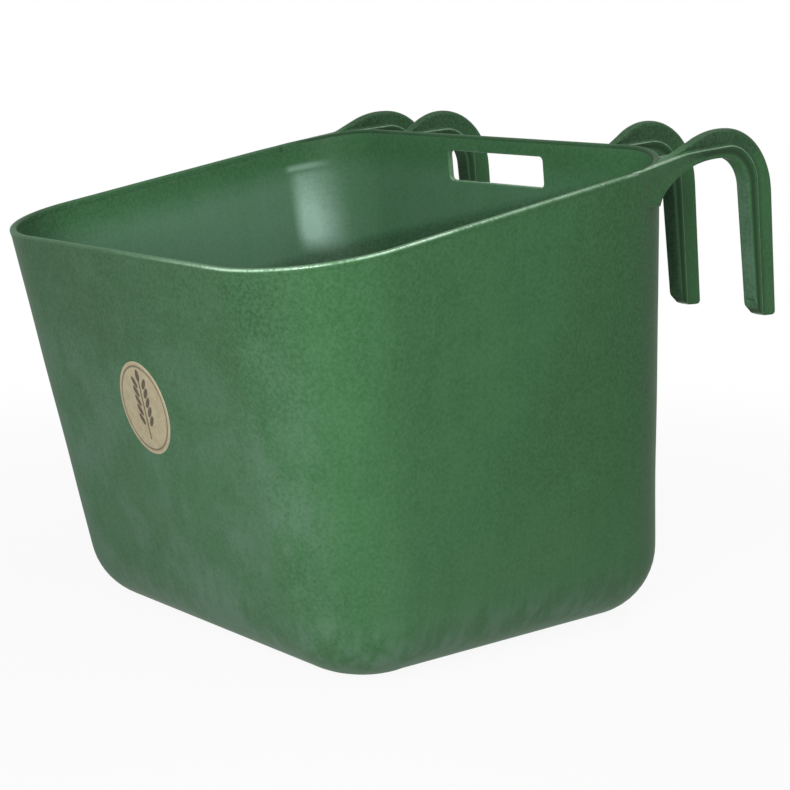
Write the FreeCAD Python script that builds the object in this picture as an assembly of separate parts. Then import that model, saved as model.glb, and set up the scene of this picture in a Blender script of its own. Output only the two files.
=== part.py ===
import FreeCAD, Part
import math
import os
from FreeCAD import Vector

# Hook-over feed manger: a drafted tub with a sloping mouth, four hooks on the
# back wall, a hand slot between the inner hooks and an oval label in front.
# Millimetres and degrees. +Z is up, -Y is the front, and the origin is the
# middle of the underside.

# Driving sizes: tub
base_width = 300.0
base_depth = 278.0
front_height = 244.5
back_height = 296.0
front_lean = 13.1
back_lean = 6.7
side_draft = 5.0
wall = 4.0
floor = 5.0
bottom_radius = 45.0
front_corner_base = 52.5
front_corner_mouth = 72.0
back_corner = 55.5

# Driving sizes: top of the back wall and its hand slot
grip_rise = 3.0
grip_bar = 11.5
ramp_length = 25.0
slot_width = 91.0
slot_height = 20.0
slot_corner = 3.0

# Driving sizes: rim bead and the stacking line inside
bead_height = 5.0
bead_proud = 0.8
bead_round = 1.5
bead_stop = 21.5
stack_depth = 21.0
stack_height = 3.0
stack_proud = 0.9

# Driving sizes: hooks
outer_hook_inset = 14.0
inner_hook_offset = 53.7
seat_drop = 7.5
strap_width = 10.4
strap_thickness = 6.5
outer_strap_start = 1.5
inner_strap_start = 4.5
ledge_rise = 1.7
ledge_radius = 28.5
rail_gap = 54.5
leg_drop = 102.0
leg_lean = 8.4
seat_radius = 22.0
root_radius = 30.0
corner_root_radius = 34.0
flank_length = 15.0
rib_width = 7.0
outer_rib_rise = 10.3
inner_rib_rise = 12.5
rib_depth = 26.2
rib_lean = 6.0
outer_rib_front = 68.0
inner_rib_front = 48.0
rib_rear_radius = 45.0
crest_length = 5.0
rib_sink = 0.5
rib_foot_drop = 4.0
toe_round = 12.0
heel_round = 3.5

# Driving sizes: label
label_width = 49.0
label_height = 58.5
label_thickness = 0.4
label_drop = 95.0
label_offset = -4.0

# Room for the cutting solids beyond the walls, and how near counts as touching
margin = 60.0
near = 0.01


def tangent(angle):
    return math.tan(math.radians(angle))


def side_x(z):
    return base_width / 2 + z * tangent(side_draft)


def front_y(z):
    return -base_depth / 2 - z * tangent(front_lean)


def back_y(z):
    return base_depth / 2 - z * tangent(back_lean)


def front_corner(z):
    growth = (front_corner_mouth - front_corner_base) / front_height
    return front_corner_base + growth * z


# Places that several pieces share
grip_top = back_height + grip_rise
slot_bottom = grip_top - grip_bar - slot_height
outer_hook_x = side_x(grip_top) - outer_hook_inset
inner_hook_x = slot_width / 2 + inner_hook_offset
label_z = front_height - label_drop
mouth_front_y = front_y(front_height)
mouth_back_y = back_y(back_height)
mouth_slope = (back_height - front_height) / (mouth_back_y - mouth_front_y)
grip_y = back_y(grip_top)
ramp_y = grip_y - ramp_length
sky = grip_top + margin
far_front = mouth_front_y - margin
far_back = base_depth / 2 + rail_gap + leg_drop
far_side = side_x(grip_top) + margin


def mouth_z(y):
    return front_height + mouth_slope * (y - mouth_front_y)


def at(y, z):
    return Vector(0, y, z)


def line(start, end):
    return Part.LineSegment(start, end).toShape()


def arc(start, middle, end):
    return Part.Arc(start, middle, end).toShape()


def polygon(points):
    return Part.makePolygon(points + points[:1])


def across(wire, low_x, high_x):
    # A side profile in the YZ plane, made solid from low_x to high_x
    face = Part.Face(wire)
    face.translate(Vector(low_x, 0, 0))
    return face.extrude(Vector(high_x - low_x, 0, 0))


def outline(z, inset):
    # The tub's plan at height z: four lines and four corner arcs
    half = side_x(z) - inset
    front = front_y(z) + inset
    back = back_y(z) - inset
    rf = front_corner(z) - inset
    rb = back_corner - inset
    corners = [
        (half - rf, front + rf, rf, -90),
        (half - rb, back - rb, rb, 0),
        (rb - half, back - rb, rb, 90),
        (rf - half, front + rf, rf, 180),
    ]
    spans = []
    for x, y, radius, first in corners:
        turns = [math.radians(first + step) for step in (0, 45, 90)]
        spans.append([Vector(x + radius * math.cos(t), y + radius * math.sin(t), z) for t in turns])
    edges = []
    for index, span in enumerate(spans):
        edges.append(arc(*span))
        edges.append(line(span[2], spans[(index + 1) % len(spans)][0]))
    return Part.Wire(edges)


def is_flat(face):
    # True when the normals at two far corners of a face agree
    low_u, high_u, low_v, high_v = face.ParameterRange
    return face.normalAt(low_u, low_v).isEqual(face.normalAt(high_u, high_v), near)


def tapered(low, inset):
    return Part.makeLoft([outline(low, inset), outline(sky, inset)], True, True)


def planed(block):
    # The same block with its flat walls made as true planes
    walls = [f for f in block.Faces if is_flat(f) and len(f.Edges) == 4]
    others = [f for f in block.Faces if not any(f.isSame(w) for w in walls)]
    planes = [Part.Face(polygon([v.Point for v in w.OuterWire.OrderedVertexes])) for w in walls]
    return Part.Solid(Part.Shell(others + planes))


def rounded_below(solid, height, radius):
    # The edges of the lowest face, rounded
    edges = [e for e in solid.Edges if abs(e.BoundBox.ZMax - height) < near]
    return solid.makeFillet(radius, edges)


def layer(side_line, top, bottom):
    # The layer between two depths below a line that is seen from the side
    upper = [at(y, z - top) for y, z in side_line]
    lower = [at(y, z - bottom) for y, z in reversed(side_line)]
    return across(polygon(upper + lower), -far_side, far_side)


# The plane of the mouth, and the rim that leaves it to climb to the wall top
mouth_line = [(far_front, mouth_z(far_front)), (far_back, mouth_z(far_back))]
rim_line = [
    (far_front, mouth_z(far_front)),
    (ramp_y, mouth_z(ramp_y)),
    (grip_y, grip_top),
    (far_back, grip_top),
]

body = rounded_below(planed(tapered(0, 0)), 0, bottom_radius)
hollow = rounded_below(tapered(floor, wall), floor, bottom_radius - wall)
above_rim = layer(rim_line, -2 * sky, 0)
bead_end_y = ramp_y - bead_stop


def before(y):
    # Everything in front of a plane
    return Part.makeBox(2 * far_side, y - far_front, 2 * sky, Vector(-far_side, far_front, -sky))


def hand_slot():
    place = Vector(-slot_width / 2, grip_y - margin, slot_bottom)
    block = Part.makeBox(slot_width, 2 * margin, slot_height, place)
    along_y = [e for e in block.Edges if e.BoundBox.YLength > margin]
    return block.makeFillet(slot_corner, along_y)


def stacking_line():
    # A fine proud line inside, which stops short of the flat of the back wall
    ring = hollow.cut(tapered(0, wall + stack_proud))
    ring = ring.common(layer(mouth_line, stack_depth, stack_depth + stack_height))
    return ring.common(before(back_y(back_height) - wall - stack_height))


def tub_shell():
    shell = body.cut(hollow).fuse(stacking_line())
    shell = shell.cut(above_rim).cut(hand_slot())
    return shell.cut(layer(rim_line, 0, bead_height).common(before(bead_end_y)))


def along_rim(edge):
    # True for the long edges on top of the bead, not for those that end it
    ends = [v.Point for v in edge.Vertexes]
    on_top = all(abs(p.z - mouth_z(p.y)) < near for p in ends)
    return on_top and not all(abs(p.y - bead_end_y) < near for p in ends)


def rim_bead():
    bead = tapered(0, -bead_proud).cut(hollow)
    bead = bead.common(layer(rim_line, 0, bead_height)).common(before(bead_end_y))
    return bead.makeFillet(bead_round, [e for e in bead.Edges if along_rim(e)])


def corner_arc(before_point, corner, after_point, radius):
    # The arc that rounds a corner: its two ends and its middle
    back = (before_point - corner).normalize()
    ahead = (after_point - corner).normalize()
    half_turn = back.getAngle(ahead) / 2
    reach = radius / math.tan(half_turn)
    centre = corner + (back + ahead).normalize() * (radius / math.sin(half_turn))
    middle = centre + (corner - centre).normalize() * radius
    return corner + back * reach, middle, corner + ahead * reach


seat_z = grip_top - seat_drop
leg_end_z = seat_z - leg_drop
wall_seat_y = back_y(seat_z)
strap_root_y = wall_seat_y - wall / 2


def leg_y(z, offset):
    return wall_seat_y + rail_gap + (seat_z - z) * tangent(leg_lean) + offset


def rib_y(z):
    return wall_seat_y + rail_gap + rib_depth + (seat_z - z) * tangent(rib_lean)


ledge_top = grip_top + ledge_rise
ledge_corner = at(leg_y(ledge_top, strap_thickness), ledge_top)


def bent(root, corner, end, radius):
    # A line that goes back from the wall, over a round corner and down the leg
    return [root, *corner_arc(root, corner, end, radius), end]


def seat_contour(offset):
    # The line of the seat, or one that lies outside it
    top = seat_z + offset
    end = at(leg_y(leg_end_z, offset), leg_end_z)
    return bent(at(strap_root_y, top), at(leg_y(top, offset), top), end, seat_radius + offset)


def contour_edges(points):
    start, bend_start, bend_middle, bend_end, end = points
    return [line(start, bend_start), arc(bend_start, bend_middle, bend_end), line(bend_end, end)]


def strap_profile(root):
    # The strap that lies on the rail, thin at its root and full on the leg
    inner = seat_contour(0)
    end = at(leg_y(leg_end_z, strap_thickness), leg_end_z)
    outer = bent(root, ledge_corner, end, ledge_radius)
    edges = contour_edges(inner) + contour_edges(outer)
    edges += [line(inner[-1], outer[-1]), line(outer[0], inner[0])]
    return Part.Wire(Part.__sortEdges__(edges))


def above_ledge(root):
    # Everything over the line of the strap's outer face before its bend
    slope = (ledge_corner.z - root.z) / (ledge_corner.y - root.y)
    ends = [(y, root.z + slope * (y - root.y)) for y in (far_front, far_back)]
    return layer(ends, -2 * sky, 0)


def rib_profile(rise, front_radius):
    # The rib on the strap: a long front rise, a round crest and a deep leg
    crest_z = grip_top + rise
    crest_corner = at(rib_y(crest_z), crest_z)
    leg_end = at(rib_y(leg_end_z), leg_end_z)
    crest = corner_arc(at(wall_seat_y, crest_z), crest_corner, leg_end, rib_rear_radius)
    heel = corner_arc(crest[2], leg_end, at(wall_seat_y, leg_end_z), heel_round)
    crest_front = crest[0] - Vector(0, crest_length, 0)
    front_centre = crest_front - Vector(0, 0, front_radius)
    foot_z = seat_z - rib_foot_drop
    foot_turn = math.acos((foot_z - front_centre.z) / front_radius)
    front = [
        front_centre + Vector(0, -math.sin(turn), math.cos(turn)) * front_radius
        for turn in (foot_turn, foot_turn / 2)
    ]
    root = seat_contour(rib_sink)
    edges = contour_edges(root) + [
        line(root[-1], heel[2]),
        arc(*heel),
        line(heel[0], crest[2]),
        arc(*crest),
        line(crest[0], crest_front),
        arc(crest_front, front[1], front[0]),
        line(front[0], root[0]),
    ]
    return Part.Wire(Part.__sortEdges__(edges))


def toe():
    # What the round on the rail side takes off the end of a leg
    corner = at(leg_y(leg_end_z, 0), leg_end_z)
    bend = corner_arc(at(wall_seat_y + rail_gap, seat_z), corner, at(far_back, leg_end_z), toe_round)
    edges = [line(corner, bend[0]), arc(*bend), line(bend[2], corner)]
    return across(Part.Wire(edges), -far_side, far_side)


def corner_flare():
    # The round web under a corner hook, turned about the axis of the tub's corner and flush with its side
    mid_z = seat_z - corner_root_radius / 2
    axis_x = side_x(mid_z) - back_corner
    axis_y = back_y(mid_z) - back_corner
    skin = back_corner - wall
    low = seat_z - corner_root_radius
    reach = back_corner + corner_root_radius
    bend = Vector(reach, 0, low) + Vector(-1, 0, 1).normalize() * corner_root_radius
    edges = [
        line(Vector(skin, 0, low), Vector(skin, 0, grip_top)),
        line(Vector(skin, 0, grip_top), Vector(reach, 0, grip_top)),
        line(Vector(reach, 0, grip_top), Vector(reach, 0, seat_z)),
        arc(Vector(reach, 0, seat_z), bend, Vector(reach - corner_root_radius, 0, low)),
        line(Vector(reach - corner_root_radius, 0, low), Vector(skin, 0, low)),
    ]
    web = Part.Face(Part.Wire(edges)).revolve(Vector(0, 0, 0), Vector(0, 0, 1), 90)
    web.translate(Vector(axis_x, axis_y, 0))
    side = polygon([
        Vector(0, axis_y, 0),
        Vector(side_x(0), axis_y, 0),
        Vector(side_x(sky), axis_y, sky),
        Vector(0, axis_y, sky),
    ])
    return web.common(Part.Face(side).extrude(Vector(0, reach, 0)))


def wall_flare(centre_x):
    # The web under a hook on the flat of the back wall
    wall_point = at(back_y(leg_end_z), leg_end_z)
    corner = at(wall_seat_y, seat_z)
    bend = corner_arc(wall_point, corner, at(wall_seat_y + rail_gap, seat_z), root_radius)
    inside = Vector(0, -wall / 2, 0)
    edges = [
        arc(*bend),
        line(bend[2], corner + inside),
        line(corner + inside, bend[0] + inside),
        line(bend[0] + inside, bend[0]),
    ]
    low_x = centre_x - strap_width / 2
    return across(Part.Wire(edges), low_x, low_x + strap_width)


def hook_plan(low_x, high_x, at_corner):
    # A hook seen from above: as wide as its strap, and spread to the side wall at a corner
    back_end = far_back - margin
    spread = [(high_x, far_front), (low_x, far_front)]
    if at_corner:
        corner_y = back_y(seat_z) - back_corner
        spread = [(high_x, wall_seat_y + flank_length), (side_x(seat_z), corner_y), (low_x, corner_y)]
    corners = [(low_x, back_end), (high_x, back_end)] + spread
    face = Part.Face(polygon([Vector(x, y, 0) for x, y in corners]))
    return face.extrude(Vector(0, 0, sky))


def hook(centre_x, rib_wire, at_corner):
    low_x, high_x = centre_x - strap_width / 2, centre_x + strap_width / 2
    root = at(strap_root_y, seat_z + (outer_strap_start if at_corner else inner_strap_start))
    strap = across(strap_profile(root), low_x, side_x(seat_z) if at_corner else high_x)
    flare = corner_flare() if at_corner else wall_flare(centre_x)
    plan = hook_plan(low_x, high_x, at_corner)
    rib = across(rib_wire, centre_x - rib_width / 2, centre_x + rib_width / 2)
    arm = strap.fuse(flare.cut(above_ledge(root))).common(plan).fuse(rib).cut(toe())
    return arm.cut(body.cut(above_rim)).removeSplitter()


def mirrored(shape):
    return shape.mirror(Vector(0, 0, 0), Vector(1, 0, 0))


def label():
    # A thin oval lying on the outside of the front wall
    lean = math.radians(front_lean)
    up_wall = Vector(0, -math.sin(lean), math.cos(lean))
    out_of_wall = Vector(0, -math.cos(lean), -math.sin(lean))
    oval = Part.Ellipse(Vector(0, 0, 0), label_height / 2, label_width / 2).toShape()
    film = Part.Face(Part.Wire(oval)).extrude(Vector(0, 0, label_thickness))
    place = Vector(label_offset, front_y(label_z), label_z)
    film.Placement = FreeCAD.Placement(place, FreeCAD.Rotation(up_wall, Vector(-1, 0, 0), out_of_wall, "XYZ"))
    return film


def main():
    os.makedirs("parts", exist_ok=True)
    outer = hook(outer_hook_x, rib_profile(outer_rib_rise, outer_rib_front), True)
    inner = hook(inner_hook_x, rib_profile(inner_rib_rise, inner_rib_front), False)
    pieces = {
        "tub_shell": tub_shell(),
        "rim_bead": rim_bead(),
        "hook_right_outer": outer,
        "hook_right_inner": inner,
        "hook_left_inner": mirrored(inner),
        "hook_left_outer": mirrored(outer),
        "label": label(),
    }
    for name, shape in pieces.items():
        print(name, len(shape.Solids), shape.isValid(), round(shape.Volume), shape.optimalBoundingBox())
        shape.exportStep("parts/" + name + ".step")


main()
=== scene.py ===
import math
import bmesh
import bpy
import numpy as np
from mathutils import Matrix, Vector


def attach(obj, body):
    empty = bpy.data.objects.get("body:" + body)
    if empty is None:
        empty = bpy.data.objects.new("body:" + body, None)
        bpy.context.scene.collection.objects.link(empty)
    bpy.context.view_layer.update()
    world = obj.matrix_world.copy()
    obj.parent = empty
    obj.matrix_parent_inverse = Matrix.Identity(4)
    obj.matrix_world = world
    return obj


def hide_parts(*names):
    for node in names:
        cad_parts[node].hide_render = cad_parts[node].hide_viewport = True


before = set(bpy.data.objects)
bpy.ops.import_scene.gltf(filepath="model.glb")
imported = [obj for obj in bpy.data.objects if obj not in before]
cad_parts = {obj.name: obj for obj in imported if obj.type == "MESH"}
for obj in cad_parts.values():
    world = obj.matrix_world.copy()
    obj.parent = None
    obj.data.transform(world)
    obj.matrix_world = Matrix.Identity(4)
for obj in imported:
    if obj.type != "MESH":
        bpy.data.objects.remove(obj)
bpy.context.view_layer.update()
print("frame loaded:", ", ".join(sorted(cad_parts)))

# All shapes are worked out in millimetres and shrunk when the mesh is made
toMetres = 0.001
weldGap, sliverEdge = 1e-6, 1e-7  # metres

# Camera, set to the photograph's own view
cameraView = {
    "place": (0.942934, -0.778213, 0.370143),
    "azimuth": 49.911,
    "down": 10.821,
    "focalPixels": 1925.014,
    "imageWidth": 790,
    "sensorWidth": 36.0,
    "clip": (0.01, 60.0),
}


def makeCamera():
    lens = bpy.data.cameras.new("photoCamera")
    lens.sensor_width = cameraView["sensorWidth"]
    lens.lens = cameraView["focalPixels"] * cameraView["sensorWidth"] / cameraView["imageWidth"]
    lens.clip_start, lens.clip_end = cameraView["clip"]
    camera = bpy.data.objects.new("photoCamera", lens)
    bpy.context.scene.collection.objects.link(camera)
    camera.location = cameraView["place"]
    camera.rotation_euler = (math.radians(90 - cameraView["down"]), 0, math.radians(cameraView["azimuth"]))
    bpy.context.scene.camera = camera


makeCamera()
print("camera set")


# Shader sums: one socket of a material's node tree
class Paint:
    def __init__(self, tree, socket=None):
        self.tree = tree
        self.socket = socket

    # one node: its settings first, then the values or links of its sockets
    def add(self, kind, settings=None, inputs=None, out=0):
        node = self.tree.nodes.new(kind)
        for name, value in (settings or {}).items():
            setattr(node, name, value)
        for name, value in (inputs or {}).items():
            if isinstance(value, Paint):
                self.tree.links.new(value.socket, node.inputs[name])
            else:
                node.inputs[name].default_value = value
        return Paint(self.tree, node.outputs[out])

    # the end of the tree
    def show(self, kind):
        output = self.tree.nodes.new(kind)
        self.tree.links.new(self.socket, output.inputs[0])

    def sum(self, operation, first, second):
        return self.add("ShaderNodeMath", {"operation": operation}, {0: first, 1: second})

    def __add__(self, other):
        return self.sum("ADD", self, other)

    __radd__ = __add__

    def __sub__(self, other):
        return self.sum("SUBTRACT", self, other)

    def __rsub__(self, other):
        return self.sum("SUBTRACT", other, self)

    def __mul__(self, other):
        return self.sum("MULTIPLY", self, other)

    __rmul__ = __mul__

    def __truediv__(self, other):
        return self.sum("DIVIDE", self, other)

    def __pow__(self, other):
        return self.sum("POWER", self, other)

    def atLeast(self, other):
        return self.sum("MAXIMUM", self, other)

    def atMost(self, other):
        return self.sum("MINIMUM", self, other)

    def size(self):
        return self.sum("ABSOLUTE", self, 0.0)

    # 0 below low, 1 above high, smooth between
    def ease(self, low, high):
        ends = {"Value": self, "From Min": low, "From Max": high, "To Min": 0.0, "To Max": 1.0}
        return self.add("ShaderNodeMapRange", {"interpolation_type": "SMOOTHSTEP", "clamp": True}, ends)

    # 0 above top, 1 a depth below it
    def under(self, top, depth):
        return (top - self).ease(0.0, depth)

    def mix(self, first, second):
        return self.add("ShaderNodeMix", {"data_type": "RGBA"}, {0: self, 6: first, 7: second}, 2)

    # the three parts of a vector
    def split(self):
        parts = self.add("ShaderNodeSeparateXYZ", None, {0: self}).socket.node
        return [Paint(self.tree, socket) for socket in parts.outputs]

    def stretch(self, factors):
        return self.add("ShaderNodeVectorMath", {"operation": "MULTIPLY"}, {0: self, 1: factors})

    def cloud(self, scale, detail, roughness, distortion=0.0):
        grain = {"Scale": scale, "Detail": detail, "Roughness": roughness, "Distortion": distortion}
        return self.add("ShaderNodeTexNoise", None, {"Vector": self, **grain})


def newMaterial(name):
    material = bpy.data.materials.new(name)
    material.use_nodes = True
    material.node_tree.nodes.clear()
    return material, Paint(material.node_tree)


# Mesh from points and faces, with one number per point for wear and painted light and one for the inside
def makePiece(name, points, faces, wearAndLight=None, inside=None):
    mesh = bpy.data.meshes.new(name)
    mesh.from_pydata([tuple(p) for p in np.asarray(points) * toMetres], [], faces)
    mesh.validate()
    for layerName, values in (("wearAndPaintedLight", wearAndLight), ("insideFace", inside)):
        if values is not None:
            layer = mesh.attributes.new(layerName, "FLOAT", "POINT")
            layer.data.foreach_set("value", np.asarray(values, np.float32))
    piece = bpy.data.objects.new(name, mesh)
    bpy.context.scene.collection.objects.link(piece)
    cleaner = bmesh.new()
    cleaner.from_mesh(mesh)
    bmesh.ops.remove_doubles(cleaner, verts=cleaner.verts, dist=weldGap)
    bmesh.ops.dissolve_degenerate(cleaner, edges=cleaner.edges, dist=sliverEdge)
    bmesh.ops.recalc_face_normals(cleaner, faces=cleaner.faces)
    cleaner.to_mesh(mesh)
    cleaner.free()
    mesh.polygons.foreach_set("use_smooth", [True] * len(mesh.polygons))
    return piece


def settle(piece, material, slotName, *nodes):
    piece.data.materials.append(material)
    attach(piece, "root")
    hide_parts(*nodes)


# Four-sided faces between loops of points, apart from those that a test leaves out
def gridFaces(start, rows, count, leftOut=None):
    faces = []
    for row in range(rows - 1):
        low = start + row * count
        for step in range(count):
            if leftOut is None or not leftOut(row, step):
                after = (step + 1) % count
                faces.append((low + step, low + after, low + count + after, low + count + step))
    return faces


# Straight and smooth steps from 0 to 1 between two values
def rampStep(value, low, high):
    return np.clip((value - low) / (high - low), 0, 1)


def easeStep(value, low, high):
    share = rampStep(value, low, high)
    return share * share * (3 - 2 * share)


# A quarter circle of radius 1 round (1, 1), from (0, 1) to (1, 0)
def quarterRound(steps):
    turns = [math.pi / 2 * step / steps for step in range(steps + 1)]
    return [(1 - math.cos(turn), 1 - math.sin(turn)) for turn in turns]


# Tub: sizes in millimetres and degrees
tub = {
    "baseWidth": 300.0, "baseDepth": 278.0,
    "frontHeight": 244.5, "backHeight": 296.0, "gripRise": 3.0,
    "frontLean": 13.1, "backLean": 6.7, "sideDraft": 5.0,
    "wall": 4.0, "floor": 5.0, "bottomRadius": 45.0,
    "frontCornerBase": 52.5, "frontCornerMouth": 72.0, "backCorner": 55.5,
    "rampLength": 25.0, "rampSoft": 4.0,
    "topRound": 1.6, "topSteps": 5, "topLand": 0.4,
    "hiddenTop": 2.6, "hiddenRun": (2.0, 10.0),
    "stackDepth": 21.0, "stackHeight": 3.0, "stackProud": 0.04, "stackFade": (97.0, 86.0),
    # depth into the line and share of its height, then the plain rows above and below it
    "stackEdge": ((-0.7, 0.0), (-0.15, 0.25), (0.25, 0.8), (0.9, 1.0)),
    "stackAbove": (6.5, 9.0, 14.0, 18.0),
    "stackBelow": (28.0, 33.0),
    "waviness": 0.35,
    # turns round the tub, climb, shift and share of each wave
    "waves": ((5, 0.017, 0.0, 1.0), (9, -0.031, 1.7, 0.7), (3, 0.05, 0.0, 0.5)),
    "waveUnderRim": (30.0, 90.0), "waveOverFoot": (50.0, 100.0),
    "calmAt": (-4.0, 150.0), "calmRadius": 55.0,
    "frontPart": -100.0, "barHalf": 110.0, "wearBlend": 14.0,
    # brightness of wear and painted highlights on the edges; below zero, painted shade
    "wearAndLight": {
        "underside": 0.1, "bottomRound": 0.25, "topOuter": 0.5, "topInner": 0.1,
        "bar": -0.6, "backCorner": -0.86, "innerEdge": 0.3, "floor": 0.15,
    },
    "cornerSteps": 22, "sideSteps": 30,
    "wallRows": 34, "innerRows": 30, "roundRows": 14,
    "floorShares": (0.06, 0.3, 0.6, 0.85, 0.97),
}


def tangent(angle):
    return math.tan(math.radians(angle))


def sideX(z):
    return tub["baseWidth"] / 2 + z * tangent(tub["sideDraft"])


def frontY(z):
    return -tub["baseDepth"] / 2 - z * tangent(tub["frontLean"])


def backY(z):
    return tub["baseDepth"] / 2 - z * tangent(tub["backLean"])


def frontCorner(z):
    base, mouth = tub["frontCornerBase"], tub["frontCornerMouth"]
    return base + (mouth - base) * z / tub["frontHeight"]


gripTop = tub["backHeight"] + tub["gripRise"]
mouthFront = frontY(tub["frontHeight"])
mouthSlope = (tub["backHeight"] - tub["frontHeight"]) / (backY(tub["backHeight"]) - mouthFront)
rampY = backY(gripTop) - tub["rampLength"]


def mouthZ(y):
    return tub["frontHeight"] + mouthSlope * (y - mouthFront)


def rimZ(y):
    climb = (gripTop - mouthZ(rampY)) / tub["rampLength"] - mouthSlope
    soft = tub["rampSoft"]
    past = soft * np.logaddexp(0, (y - rampY) / soft)
    return np.minimum(mouthZ(y) + climb * past, gripTop)


# A quarter turn round a corner's centre: its points and the way out of each
def cornerArc(x, y, radius, first, steps):
    turns = np.radians(first + 90 * np.arange(steps + 1) / steps)
    out = np.column_stack([np.cos(turns), np.sin(turns)])
    return out * radius + (x, y), out


# The plan at one height: points and outward normals, the same count at each height
def planAt(z):
    half, front, back = sideX(z), frontY(z), backY(z)
    rf, rb = frontCorner(z), tub["backCorner"]
    corners = (
        (half - rf, front + rf, rf, -90),
        (half - rb, back - rb, rb, 0),
        (rb - half, back - rb, rb, 90),
        (rf - half, front + rf, rf, 180),
    )
    arcs = [cornerArc(*corner, tub["cornerSteps"]) for corner in corners]
    shares = np.linspace(0, 1, tub["sideSteps"] + 1)[1:-1, None]
    points, normals = [], []
    for (arc, out), (nextArc, _) in zip(arcs, arcs[1:] + arcs[:1]):
        points += [arc, arc[-1] + shares * (nextArc[0] - arc[-1])]
        normals += [out, np.repeat(out[-1:], len(shares), 0)]
    return np.concatenate(points), np.concatenate(normals)


probeHeight = 100.0
planFoot, planNormal = planAt(0.0)
planClimb = (planAt(probeHeight)[0] - planFoot) / probeHeight
leanSlope = (planClimb * planNormal).sum(1)
leanAngle = np.arctan(leanSlope)
columns = len(planFoot)


# Points of the outer wall at height z, moved inwards by inset
def wallPoints(z, inset=0.0):
    z, inset = np.broadcast_to(z, columns), np.broadcast_to(inset, columns)
    flat = planFoot + planClimb * z[:, None] - planNormal * inset[:, None]
    return np.column_stack([flat, z])


# Heights where the columns reach a line seen from the side, a depth below it
def heightsOn(sideLine, inset, depth):
    z = np.full(columns, tub["frontHeight"])
    for _ in range(12):  # settles well before that
        z = sideLine(wallPoints(z, inset)[:, 1]) - depth
    return z


# The round between the floor and a wall, as a ball would roll round it
def roundRow(share, radius, base, inset):
    turn = share * (math.pi / 2 - leanAngle)
    centre = radius * (np.sin(leanAngle) - 1) / np.cos(leanAngle)
    z = base + radius * (1 - np.cos(turn))
    reach = base * leanSlope - inset + centre + radius * np.sin(turn)
    flat = planFoot + planClimb * z[:, None] + planNormal * (reach - z * leanSlope)[:, None]
    return np.column_stack([flat, z])


# A slow wave in the walls that leaves the rim, the bottom and the label's place alone
def wave(points):
    x, y, z = points.T
    around = np.arctan2(y, x)
    swell = 0.0
    for turns, climb, shift, share in tub["waves"]:
        swell += share * np.sin(around * turns + z * climb + shift)
    top = rampStep(rimZ(y) - z, *tub["waveUnderRim"])
    low = rampStep(z, *tub["waveOverFoot"])
    calmX, calmZ = tub["calmAt"]
    calm = np.exp(-((x - calmX) ** 2 + (z - calmZ) ** 2) / tub["calmRadius"] ** 2) * (y < tub["frontPart"])
    amount = tub["waviness"] * swell * top * low * (1 - calm)
    moved = points.copy()
    moved[:, :2] += planNormal * amount[:, None]
    return moved


# Hand slot in the back wall; its frame is the part of the wall's grid that is filled anew
slot = {
    "width": 91.0, "height": 20.0, "bar": 11.5,
    "corner": 3.0, "edge": 0.9, "land": 0.6,
    "frameHalf": 56.0, "frameHeights": (262.5, 292.5), "straight": 0.9999,
    "wearAndLight": (0.2, 0.5, 0.8),
    "cornerSteps": 7, "edgeSteps": 4,
}


# Rounded outline of the slot, grown by some millimetres, as x and z
def slotLoop(grow):
    corner, tall = slot["corner"], slot["height"] / 2
    middle = gripTop - slot["bar"] - tall
    x, z = slot["width"] / 2 - corner, tall - corner
    corners = ((x, middle - z, -90), (x, middle + z, 0), (-x, middle + z, 90), (-x, middle - z, 180))
    radius, steps = corner + grow, slot["cornerSteps"]
    return np.concatenate([cornerArc(cx, cz, radius, first, steps)[0] for cx, cz, first in corners])


def slotRow(grow, depth):
    loop = slotLoop(grow)
    return np.column_stack([loop[:, 0], backY(loop[:, 1]) - depth, loop[:, 1]])


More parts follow.
